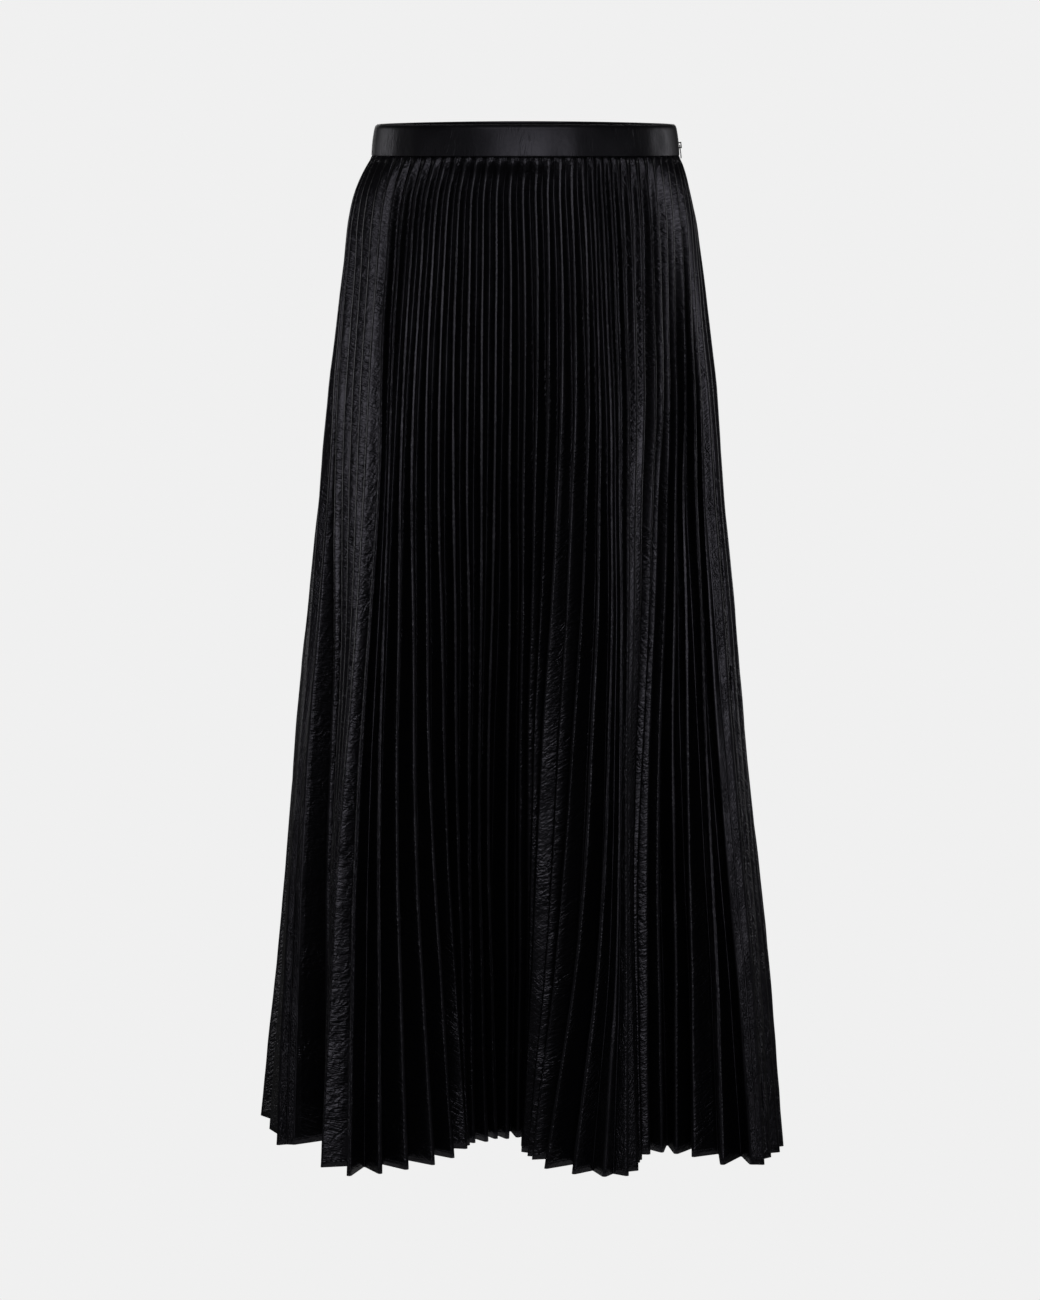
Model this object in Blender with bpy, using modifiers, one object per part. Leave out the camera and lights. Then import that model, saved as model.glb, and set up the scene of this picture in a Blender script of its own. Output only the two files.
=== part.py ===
"""Pleated midi skirt with a plain waistband, filled out as if worn, with nobody in it.

Metres, +Z up. The origin is the centre of the waist, half-way up the band. The front faces -Y, so the
wearer's left side, with its concealed zip, is at +X. Sizes below are in millimetres.
"""

import math
from collections import namedtuple

import bmesh
import bpy
import numpy as np

MM = 0.001

# Waistband: cloth folded double, a little wider at its lower edge, and higher at the back
BAND_HEIGHT = 25.0
BAND_WALL = 2.0
BAND_HALF_WIDTH = 123.4  # of the wall's middle, half-way up
BAND_HALF_DEPTH = 88.4
BAND_FLARE = 0.12  # outwards for each millimetre down
BAND_CROWN = 0.5
BAND_ROWS = 5
BACK_RISE = 4.5

# Skirt panels: equal pleats that widen from the seam to the hem, as in a cut from part of a circle
PLEATS = 76
CLOTH = 1.0
SEAM_TO_HEM = 808.0
FACE_AT_SEAM = 8.0  # width of one side of a pleat
FACE_AT_HEM = 28.0
DEPTH_POWER = 0.65  # the folds are deep sooner than they are wide
TURN_SHARE = 0.8  # of its neighbours' direction in the direction of a pleat
LEAST_DEPTH = 1.0
SEAM_GAP = 0.4
SIDE_GAP = 0.3
SEAM_Z = -BAND_HEIGHT / 2
ELLIPSE_STEPS = 720

# Each row is one level of the skirt: the oval of the pleats' outer edges, and how far the pleats and the
# soft folds have opened
Level = namedtuple("Level", "drop half_width half_depth shift_right pleat_share fold_share")
LEVELS = [
    Level(0, 125.9, 90.9, 0.0, 0.35, 0.00),
    Level(4, 127.6, 91.3, -0.1, 0.45, 0.00),
    Level(14, 132.4, 92.5, -1.0, 0.85, 0.01),
    Level(28, 137.4, 94.4, -2.1, 1.00, 0.02),
    Level(50, 142.6, 97.2, -2.2, 1.00, 0.04),
    Level(85, 147.5, 101.3, -2.0, 1.00, 0.07),
    Level(130, 153.4, 106.3, -2.3, 1.00, 0.11),
    Level(190, 160.9, 112.3, -2.9, 1.00, 0.17),
    Level(270, 168.3, 118.5, -4.3, 1.00, 0.26),
    Level(360, 177.8, 124.0, -4.6, 1.00, 0.36),
    Level(460, 187.7, 129.0, -5.3, 1.00, 0.48),
    Level(560, 196.9, 133.0, -3.7, 1.00, 0.61),
    Level(660, 206.2, 136.5, -2.9, 1.00, 0.76),
    Level(740, 213.0, 139.5, -4.5, 1.00, 0.89),
    Level(SEAM_TO_HEM, 218.5, 142.0, -5.6, 1.00, 1.00),
]

# Drops of the rows of points between the seam and the hem
ROW_DROPS = (0, 4, 14, 28, 50, 85, 130, 190, 270, 360, 435, 500, 560, 610, 655, 700, 740, 775, SEAM_TO_HEM)

# Outer edges of the pleats, numbered from the right side seam round the front to the left one, at 38, and
# back. x and y: place at the hem. fullness: how deep the pleat after it is. turn: how many degrees that
# pleat leans round. at_waist: how many pleats further round it starts. bow_...: how far to the left it
# bows at these drops
BOW_DROPS = (0, 120, 250, 420, 600, SEAM_TO_HEM)
Edge = namedtuple("Edge", "name pleat x y fullness turn at_waist bow_120 bow_250 bow_420 bow_600")
EDGES = [
    Edge("right side lobe", 0, -205, -91, 0.05, 0, -0.4, 0, 0, 1.7, -3.7),
    Edge("right side lobe", 1, -191, -90, 1, 0, -0.5, 0, 4, 3, -1),
    Edge("right valley", 2, -163, -97, 1, 0, -0.5, -1, 1, 6, 0),
    Edge("right valley", 3, -165, -112, 1, 0, -0.45, 2, 2.5, 8, 1),
    Edge("right valley", 4, -166, -127, 1, 0, -0.25, 3, 5, 9, 1),
    Edge("right valley", 5, -168, -142, 1, 0, 0, 3.4, 7.4, 9.5, 1.2),
    Edge("front right lobe", 6, -170, -156, 1, 0, 0.21, 2.8, 7.7, 8.3, 0.5),
    Edge("front right lobe", 7, -142, -182, 1, 0, 0.29, 0.3, 6, 1.7, -3.6),
    Edge("front right lobe", 8, -116, -175, 1, 0, 0.41, -1.4, 0.5, -0.5, -2.9),
    Edge("front right lobe, inner flank", 9, -95, -162, 1, -6, 0.51, -2, -2.7, -2.2, -5),
    Edge("front right lobe, inner flank", 10, -74, -149, 1, -22, 0.55, -3.2, -6, -3.8, -6.7),
    Edge("front right lobe, inner flank", 11, -58, -129, 1, -20, 0.53, -3.8, -5.6, -5.1, -5.8),
    Edge("centre valley", 12, -47, -102, 1, -8, 0.5, -3.6, -4.5, -2.7, -4.4),
    Edge("centre valley", 13, -45, -92, 1, 0, 0.43, -1.9, -1.1, 0.5, -1.8),
    Edge("centre valley", 14, -41, -85, 1, 0, 0.42, -0.2, 0.8, 3.3, -0),
    Edge("centre valley", 15, -31, -82, 1, 0, 0.42, 0.6, 1.9, 1.3, -3),
    Edge("centre valley", 16, -22, -76, 1, 0, 0.49, 1.4, 1.8, -1.3, -5.8),
    Edge("centre valley", 17, -15, -73, 1, 0, 0.6, 2, 2.7, 3.8, -0.3),
    Edge("centre valley", 18, -7, -68, 0.9, 0, 0.69, 2.4, 3.3, 3.4, 0.1),
    Edge("centre valley", 19, -3, -73, 1, 0, 0.74, 3, 4, 2.5, 0.5),
    Edge("centre valley, left flank", 20, -4, -94, 0.7, 0, 0.79, 2.6, 4.4, 1.5, -0.9),
    Edge("centre valley, left flank", 21, -4, -110, 0.7, -14, 0.8, 4.1, 5.8, 2.5, -1.5),
    Edge("centre valley, left flank", 22, -1, -122, 1, -8, 0.85, 4.3, 8.5, 7.5, 3.4),
    Edge("centre valley, left flank", 23, 1, -134, 1, 12, 0.79, 5.1, 9.5, 10.3, 6),
    Edge("front left lobe", 24, 15.5, -160, 1, 4, 0.7, 2.7, 7.6, 11.1, 9.4),
    Edge("front left lobe", 25, 38, -175, 0.6, 0, 0.48, 0.7, 6, 9.2, 7.2),
    Edge("front left lobe", 26, 63, -182, 0.3, 0, 0.21, 0.2, 2.6, 4, 2.5),
    Edge("front left lobe", 27, 82, -180, 0.25, 0, 0.04, -0.6, 0.5, -2.1, -5),
    Edge("front left lobe, outer flank", 28, 91, -164, 0.4, 0, 0, -2, -3.3, -7.7, -11),
    Edge("front left lobe, outer flank", 29, 93, -140, 0.8, 8, 0, -3.3, -4.9, -9.3, -12.7),
    Edge("front left lobe, outer flank", 30, 95, -133, 1, 12, 0, -2, -2.7, -8.1, -13.7),
    Edge("left valley", 31, 102, -118, 1, 12, 0, -3.1, -4.8, -10.1, -13.5),
    Edge("left valley", 32, 112, -113, 1, 12, 0, -4.3, -5.9, -10.8, -13.7),
    Edge("left valley", 33, 123, -117, 1, 10, 0, -6, -7.2, -10.8, -10.7),
    Edge("left side lobe", 34, 136, -126, 1, 0, 0, -4.2, -8.3, -9, -9.9),
    Edge("left side lobe", 35, 159, -149, 1, 0, 0, -3.9, -6.6, -7.3, -7.6),
    Edge("left side lobe", 36, 182, -147, 0, 0, 0, -5.8, -8.7, -11.5, -9.8),
    Edge("left side lobe", 37, 193, -148, 0.25, 0, 0, -4.8, -5.1, -5.6, -4.5),
    Edge("left side", 38, 201, -126, 0.3, 0, 0, -2.5, -2.4, -2.4, -2.7),
    Edge("left side", 39, 209, -111, 0.6, 0, 0, -0.2, 0, -0.8, -2.5),
    Edge("left side", 40.5, 214, -84, 1, 0, 0, 0, 0, 0, 0),
    Edge("left side", 42.1, 210, -46, 1, 0, 0, 0, 0, 0, 0),
    Edge("back left corner", 44.2, 207, 0, 1, 0, 0, 0, 0, 0, 0),
    Edge("back left corner", 46.3, 196, 48, 1, 0, 0, 0, 0, 0, 0),
    Edge("back left valley", 47.9, 172, 74, 1, 0, 0, 0, 0, 0, 0),
    Edge("back left valley", 49.5, 152, 104, 1, 0, 0, 0, 0, 0, 0),
    Edge("back left lobe", 51.6, 118, 138, 1, 0, 0, 0, 0, 0, 0),
    Edge("back left lobe", 53.7, 78, 144, 1, 0, 0, 0, 0, 0, 0),
    Edge("back valley, left flank", 55.3, 54, 120, 1, 0, 0, 0, 0, 0, 0),
    Edge("back valley", 56.8, 30, 98, 1, 0, 0, 0, 0, 0, 0),
    Edge("back valley", 59, -4, 97, 1, 0, 0, 0, 0, 0, 0),
    Edge("back right lobe, inner flank", 60.5, -26, 122, 1, 0, 0, 0, 0, 0, 0),
    Edge("back right lobe", 62.1, -50, 150, 1, 0, 0, 0, 0, 0, 0),
    Edge("back right lobe", 64.2, -88, 158, 1, 0, 0, 0, 0, 0, 0),
    Edge("back right valley", 66.3, -120, 134, 1, 0, 0, 0, 0, 0, 0),
    Edge("back right valley", 67.9, -140, 108, 1, 0, 0, 0, 0, 0, 0),
    Edge("back right corner", 69.5, -166, 90, 1, 0, 0, 0, 0, 0, 0),
    Edge("back right corner", 71.6, -204, 84, 1, 0, 0, 0, 0, 0, 0),
    Edge("right side", 73.4, -226, 44, 1, 0, 0, 0, 0, 0, 0),
    Edge("right side", 74, -225, -1, 0.6, 0, -0.2, 0, 0, 0, 0),
    Edge("right side", 75, -215, -42, 0.5, 0, -0.3, 0, 0, 0, 0),
]

# Concealed zip at the left side seam. Its frame sits on the band's outer face: x out, y round, z up
ZIP_PIVOT_Z = -3.0  # below the middle of the band
ZIP_PIVOT_OUT = 1.05  # from the band's face to the pull tab's pin
SLIDER_BODY = (2.0, 6.4, 9.0)  # inside the band
SLIDER_BODY_GAP = 0.4
LOOP_THICK = 1.2
LOOP_HALF_HEIGHT = 2.6
LOOP_PROUD = 2.6
LOOP_HOLE = (0.35, 1.75)  # from the band's face
LOOP_HOLE_HALF_HEIGHT = 1.5
NOTCH_GAP = 0.3
TAB_THICK = 0.8
TAB_PIN_HALF = 0.4
TAB_WINDOW_HALF_WIDTH = 0.9
TAB_WINDOW_END = -3.4
TAB_EYE_HALF_WIDTH = 1.6
TAB_END_RADIUS = 2.3
TAB_END = -10.8
TAB_ARC_STEPS = 12


for old in list(bpy.data.objects):
    bpy.data.objects.remove(old)
parts = bpy.data.collections.new("pleated_midi_skirt")
guides = bpy.data.collections.new("guides")
bpy.context.scene.collection.children.link(parts)
bpy.context.scene.collection.children.link(guides)


def ellipse_points(pleats, half_width, half_depth):
    """Points at these pleat numbers, spread evenly along an ellipse from its -X end round its front."""
    angle = np.linspace(math.pi, 3 * math.pi, ELLIPSE_STEPS + 1)
    outline = np.stack([half_width * np.cos(angle), half_depth * np.sin(angle)], axis=1)
    steps = np.linalg.norm(np.diff(outline, axis=0), axis=1)
    run = np.concatenate([[0.0], np.cumsum(steps)])
    at = np.interp(np.mod(pleats, PLEATS) / PLEATS * run[-1], run, angle)
    return np.stack([half_width * np.cos(at), half_depth * np.sin(at)], axis=1)


def smooth_through(knots, values, at):
    """Values at these places on a smooth curve through the knots."""
    slopes = np.gradient(values, knots, axis=0)
    row = np.clip(np.searchsorted(knots, at, side="right") - 1, 0, len(knots) - 2)
    width = knots[row + 1] - knots[row]
    t = (at - knots[row]) / width
    t, width = t[:, None], width[:, None]
    return (
        values[row] * (1 + 2 * t) * (1 - t) ** 2
        + values[row + 1] * (3 - 2 * t) * t**2
        + slopes[row] * width * t * (1 - t) ** 2
        - slopes[row + 1] * width * t**2 * (1 - t)
    )


def edge_values(numbers, columns):
    """These columns of EDGES at any outer edge numbers, on smooth closed curves."""
    rows = EDGES[-3:] + EDGES + EDGES[:3]
    knots = np.array([row.pleat for row in rows], float)
    knots[:3] -= PLEATS
    knots[-3:] += PLEATS
    values = np.array([[getattr(row, column) for column in columns] for row in rows], float)
    return smooth_through(knots, values, np.mod(numbers, PLEATS))


def level_at(drop):
    """The skirt's level at any drop below the seam, on smooth curves through LEVELS."""
    knots = np.array([level.drop for level in LEVELS], float)
    values = np.array([level[1:] for level in LEVELS], float)
    return Level(drop, *smooth_through(knots, values, np.array([drop]))[0])


def bow(numbers, drop):
    """How far to the left the outer edges bow at this drop."""
    columns = edge_values(numbers, ["bow_%d" % at for at in BOW_DROPS[1:-1]])
    ends = np.zeros((len(numbers), 1))
    values = np.concatenate([ends, columns, ends], axis=1).T
    return smooth_through(np.array(BOW_DROPS, float), values, np.array([drop]))[0]


def outer_edges(numbers, level):
    """Where the pleats' outer edges lie at one level: on an oval that opens into the folds of the hem."""
    at_waist = edge_values(numbers, ["at_waist"])[:, 0]
    around = numbers + at_waist * (1 - level.fold_share)
    hem = LEVELS[-1]
    hem_oval = ellipse_points(around + 0.25, hem.half_width, hem.half_depth) + [hem.shift_right, 0]
    oval = ellipse_points(around + 0.25, level.half_width, level.half_depth) + [level.shift_right, 0]
    share = np.array([level.fold_share, max(0.0, level.fold_share) ** DEPTH_POWER])
    flat = oval + share * (edge_values(around, ["x", "y"]) - hem_oval)
    flat[:, 0] += bow(numbers, level.drop)
    return flat


def inner_edges(numbers, outer, level):
    """The inner edge between each two outer edges, behind them by what the pleat's sides reach."""
    ahead = outer[1:] - outer[:-1]
    pitch = np.linalg.norm(ahead, axis=1)
    outwards = np.stack([ahead[:, 1], -ahead[:, 0]], axis=1) / pitch[:, None]
    turned = outwards.copy()
    turned[1:] += TURN_SHARE * outwards[:-1]
    turned[:-1] += TURN_SHARE * outwards[1:]
    turned /= np.linalg.norm(turned, axis=1)[:, None]
    opened = min(1, 2 * level.fold_share)
    fullness, turn = edge_values(numbers[:-1], ["fullness", "turn"]).T
    cos, sin = np.cos(np.radians(turn * opened)), np.sin(np.radians(turn * opened))
    across, back = turned.T
    turned = np.stack([across * cos - back * sin, across * sin + back * cos], axis=1)
    cosine = np.sum(turned * outwards, axis=1)
    face = FACE_AT_SEAM + (FACE_AT_HEM - FACE_AT_SEAM) * level.drop / SEAM_TO_HEM
    reach = np.maximum(face**2 - (pitch / 2) ** 2, LEAST_DEPTH)
    depth = 1 / np.sqrt((1 - cosine**2) / face**2 + cosine**2 / reach)
    depth *= level.pleat_share * (1 - opened * (1 - fullness))
    return (outer[1:] + outer[:-1]) / 2 - turned * depth[:, None]


def pleat_edges(first, last, level):
    """Fold edges from just before one seam to just past the next, inner and outer ones in turn.

    Outer edges are a quarter past their pleat number and inner ones three quarters.
    """
    numbers = np.arange(first - 2.0, last + 3.0)
    outer = outer_edges(numbers, level)
    inner = inner_edges(numbers, outer, level)
    flat = np.empty((2 * len(inner), 2))
    flat[0::2], flat[1::2] = outer[:-1], inner
    pleats = np.repeat(numbers[:-1], 2) + np.tile([0.25, 0.75], len(inner))
    near = np.abs(pleats - (first + last) / 2) < (last - first) / 2 + 0.5
    return flat[near], pleats[near]


def back_rise(pleats):
    """How much higher the waist lies here than at the front."""
    backward = ellipse_points(pleats, 1.0, BAND_HALF_DEPTH / BAND_HALF_WIDTH)[:, 1]
    return BACK_RISE * ((backward * BAND_HALF_WIDTH / BAND_HALF_DEPTH + 1) / 2) ** 2


def moved_towards(start, end, distance):
    return start + (end - start) * distance / np.linalg.norm(end - start)


def panel_row(first, last, level):
    """One level of a panel, from the middle of a pleat's side at one seam to the same at the other."""
    flat, pleats = pleat_edges(first, last, level)
    start = moved_towards((flat[0] + flat[1]) / 2, flat[1], SIDE_GAP / 2)
    end = moved_towards((flat[-1] + flat[-2]) / 2, flat[-2], SIDE_GAP / 2)
    flat = np.concatenate([[start], flat[1:-1], [end]])
    pleats = np.concatenate([[first], pleats[1:-1], [last]])
    top = SEAM_Z - SEAM_GAP / 2 + back_rise(pleats)
    hem = SEAM_Z - SEAM_TO_HEM
    height = top + (hem - top) * level.drop / SEAM_TO_HEM
    return np.column_stack([flat, height])


def band_row(first, last, up):
    """One row of the band, at a height from -1, its lower edge, to 1."""
    spread = BAND_CROWN * (1 - up**2) - BAND_FLARE * up * BAND_HEIGHT / 2
    pleats = np.linspace(first, last, int(last - first) + 1)
    flat = ellipse_points(pleats, BAND_HALF_WIDTH + spread, BAND_HALF_DEPTH + spread)
    flat[0] = moved_towards(flat[0], flat[1], SIDE_GAP / 2)
    flat[-1] = moved_towards(flat[-1], flat[-2], SIDE_GAP / 2)
    half_height = (BAND_HEIGHT - SEAM_GAP / 2) / 2
    height = SEAM_GAP / 4 + up * half_height + back_rise(pleats)
    return np.column_stack([flat, height])


def cloth_wall(name, rows, wall, material):
    """Cloth lofted through rows of points, from the top row down: a surface that is then made solid."""
    bm = bmesh.new()
    grid = [[bm.verts.new(point * MM) for point in row] for row in rows]
    for upper, lower in zip(grid, grid[1:]):
        for left in range(len(upper) - 1):
            bm.faces.new((upper[left], lower[left], lower[left + 1], upper[left + 1]))
    bmesh.ops.triangulate(bm, faces=bm.faces[:])
    obj = new_mesh_object(name, bm, parts, material)
    solid = obj.modifiers.new("wall", "SOLIDIFY")
    solid.thickness = wall * MM
    solid.offset = 0
    solid.use_even_offset = True
    return obj


def new_mesh_object(name, bm, collection, material=None):
    mesh = bpy.data.meshes.new(name)
    bm.to_mesh(mesh)
    bm.free()
    obj = bpy.data.objects.new(name, mesh)
    collection.objects.link(obj)
    if material:
        mesh.materials.append(material)
    return obj


def new_material(name, colour, roughness, metallic=0.0):
    material = bpy.data.materials.new(name)
    material.use_nodes = True
    shader = material.node_tree.nodes["Principled BSDF"]
    shader.inputs["Base Color"].default_value = (*colour, 1)
    shader.inputs["Roughness"].default_value = roughness
    shader.inputs["Metallic"].default_value = metallic
    return material


def block(name, frame, low, high, collection, material=None):
    """A box between two corners in the zip's frame."""
    bm = bmesh.new()
    bmesh.ops.create_cube(bm, size=1)
    low, high = np.array(low), np.array(high)
    bmesh.ops.scale(bm, vec=(high - low) * MM, verts=bm.verts)
    bmesh.ops.translate(bm, vec=(high + low) / 2 * MM, verts=bm.verts)
    obj = new_mesh_object(name, bm, collection, material)
    obj.parent = frame
    return obj


def guide_block(name, frame, low, high):
    """A box that only cuts or joins another piece."""
    guide = block(name, frame, low, high, guides)
    guide.hide_render = True
    guide.display_type = "WIRE"
    return guide


def combine(obj, other, operation):
    change = obj.modifiers.new(other.name, "BOOLEAN")
    change.operation = operation
    change.object = other


def zip_frame():
    """An empty on the band's outer face at the zip, leaning as the band does."""
    up = ZIP_PIVOT_Z / (BAND_HEIGHT / 2)
    spread = BAND_CROWN * (1 - up**2) - BAND_FLARE * ZIP_PIVOT_Z
    frame = bpy.data.objects.new("zip_frame", None)
    frame.location = ((BAND_HALF_WIDTH + spread + BAND_WALL / 2) * MM, 0, ZIP_PIVOT_Z * MM)
    frame.rotation_euler = (0, -math.atan(BAND_FLARE), 0)
    guides.objects.link(frame)
    return frame


def make_slider(frame, material):
    """The slider's body lies inside the band, and its loop comes out between the two band ends."""
    thick, wide, tall = SLIDER_BODY
    face = -BAND_WALL - SLIDER_BODY_GAP
    low, high = (face - thick, -wide / 2, -tall / 2), (face, wide / 2, tall / 2)
    body = block("zip_slider", frame, low, high, parts, material)
    half, up = LOOP_THICK / 2, LOOP_HALF_HEIGHT
    loop = guide_block("loop", frame, (face - thick / 2, -half, -up), (LOOP_PROUD, half, up))
    near, far = LOOP_HOLE
    up = LOOP_HOLE_HALF_HEIGHT
    hole = guide_block("loop_hole", frame, (near, -wide, -up), (far, wide, up))
    combine(body, loop, "UNION")
    combine(body, hole, "DIFFERENCE")


def make_notch(frame, band_pieces):
    """Room for the slider's loop between the band's ends."""
    half = LOOP_THICK / 2 + NOTCH_GAP
    tall = LOOP_HALF_HEIGHT + NOTCH_GAP
    reach = 2 * BAND_WALL
    notch = guide_block("zip_notch", frame, (-reach, -half, -tall), (reach, half, tall))
    for piece in band_pieces:
        combine(piece, notch, "DIFFERENCE")


def tab_outline():
    """The pull tab's teardrop, as (y, z) from its pin, clockwise from the pin's left."""
    centre = TAB_END + TAB_END_RADIUS
    turn = np.linspace(0, math.pi, TAB_ARC_STEPS + 1)
    round_end = [(TAB_END_RADIUS * math.cos(a), centre - TAB_END_RADIUS * math.sin(a)) for a in turn]
    eye, top, low = TAB_EYE_HALF_WIDTH, TAB_PIN_HALF, TAB_WINDOW_END
    return [(-eye, top), (eye, top), (eye, low)] + round_end + [(-eye, low)]


def make_tab(frame, material):
    """The pull tab hangs by its pin in the slider's loop; its origin is on that hinge."""
    window, top, low = TAB_WINDOW_HALF_WIDTH, -TAB_PIN_HALF, TAB_WINDOW_END
    hole = [(-window, top), (window, top), (window, low), (-window, low)]
    curve = bpy.data.curves.new("zip_pull", "CURVE")
    curve.dimensions = "2D"
    curve.fill_mode = "BOTH"
    curve.extrude = TAB_THICK / 2 * MM
    for outline in (tab_outline(), hole):
        spline = curve.splines.new("POLY")
        spline.points.add(len(outline) - 1)
        for point, (across, up) in zip(spline.points, outline):
            point.co = (across * MM, up * MM, 0, 1)
        spline.use_cyclic_u = True
    tab = bpy.data.objects.new("zip_pull", curve)
    tab.location = (ZIP_PIVOT_OUT * MM, 0, 0)
    tab.rotation_euler = (math.pi / 2, 0, math.pi / 2)
    tab.parent = frame
    curve.materials.append(material)
    parts.objects.link(tab)


pleated_satin = new_material("pleated satin", (0.012, 0.012, 0.014), 0.42)
band_satin = new_material("band satin", (0.014, 0.014, 0.016), 0.38)
black_enamel = new_material("black enamelled metal", (0.015, 0.015, 0.016), 0.3, 0.6)

HALF_ROUND = PLEATS // 2
band_levels = np.linspace(1, -1, BAND_ROWS)
band_halves = []
for side, start in (("front", 0), ("back", HALF_ROUND)):
    stop = start + HALF_ROUND
    rows = [panel_row(start, stop, level_at(drop)) for drop in ROW_DROPS]
    cloth_wall("skirt_" + side, rows, CLOTH, pleated_satin)
    band_rows = [band_row(start, stop, up) for up in band_levels]
    band_halves.append(cloth_wall("waistband_" + side, band_rows, BAND_WALL, band_satin))

zip_place = zip_frame()
make_notch(zip_place, band_halves)
make_slider(zip_place, black_enamel)
make_tab(zip_place, black_enamel)
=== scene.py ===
"""Looks of a black pleated midi skirt, filled out as if worn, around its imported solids.

Metres, +Z up; the origin is the centre of the waist and the front faces -Y. Sizes are in millimetres.
"""

import math
from collections import namedtuple

import bmesh
import bpy
import numpy as np
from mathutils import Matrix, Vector


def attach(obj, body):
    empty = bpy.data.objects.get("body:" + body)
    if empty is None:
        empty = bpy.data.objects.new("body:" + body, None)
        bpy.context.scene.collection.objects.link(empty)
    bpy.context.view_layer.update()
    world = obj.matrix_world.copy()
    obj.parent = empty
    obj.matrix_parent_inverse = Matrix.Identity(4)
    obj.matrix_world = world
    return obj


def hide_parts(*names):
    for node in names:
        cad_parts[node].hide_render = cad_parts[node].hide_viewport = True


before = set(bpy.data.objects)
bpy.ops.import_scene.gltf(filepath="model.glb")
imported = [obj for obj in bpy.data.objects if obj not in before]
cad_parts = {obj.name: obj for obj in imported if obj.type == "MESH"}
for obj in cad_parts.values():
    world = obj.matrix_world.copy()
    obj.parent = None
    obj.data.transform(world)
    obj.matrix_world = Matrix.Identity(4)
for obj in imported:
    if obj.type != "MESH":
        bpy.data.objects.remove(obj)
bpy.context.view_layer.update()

MM = 0.001

# ---------------------------------------------------------------- the form, after the solids

BAND_HEIGHT = 25.0
BAND_WALL = 2.0
BAND_HALF_WIDTH = 123.4
BAND_HALF_DEPTH = 88.4
BAND_FLARE = 0.12
BAND_CROWN = 0.5
BACK_RISE = 4.5

PLEATS = 76
HALF_ROUND = PLEATS // 2
SEAM_TO_HEM = 808.0
FACE_AT_SEAM = 8.0  # width of one side of a pleat
FACE_AT_HEM = 28.0
DEPTH_POWER = 0.65  # the folds are deep sooner than they are wide
TURN_SHARE = 0.8  # of its neighbours' direction in the direction of a pleat
LEAST_DEPTH = 1.0
SEAM_GAP = 0.4
SEAM_Z = -BAND_HEIGHT / 2
ELLIPSE_STEPS = 720

# Each row is one level of the skirt: the oval of the pleats' outer edges, and how far the pleats and the
# soft folds have opened. Just below the seam the pleats open in another way than the solids' do
Level = namedtuple("Level", "drop half_width half_depth shift_right pleat_share fold_share")
LEVELS = [
    Level(0, 125.1, 90.1, 0.0, 0.08, 0.00),
    Level(4, 127.6, 91.3, -0.1, 0.36, 0.00),
    Level(14, 132.4, 92.5, -1.0, 0.62, 0.01),
    Level(28, 137.4, 94.4, -2.1, 0.85, 0.02),
    Level(50, 142.6, 97.2, -2.2, 0.96, 0.04),
    Level(85, 147.5, 101.3, -2.0, 1.00, 0.07),
    Level(130, 153.4, 106.3, -2.3, 1.00, 0.11),
    Level(190, 160.9, 112.3, -2.9, 1.00, 0.17),
    Level(270, 168.3, 118.5, -4.3, 1.00, 0.26),
    Level(360, 177.8, 124.0, -4.6, 1.00, 0.36),
    Level(460, 187.7, 129.0, -5.3, 1.00, 0.48),
    Level(560, 196.9, 133.0, -3.7, 1.00, 0.61),
    Level(660, 206.2, 136.5, -2.9, 1.00, 0.76),
    Level(740, 213.0, 139.5, -4.5, 1.00, 0.89),
    Level(SEAM_TO_HEM, 218.5, 142.0, -5.6, 1.00, 1.00),
]

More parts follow.
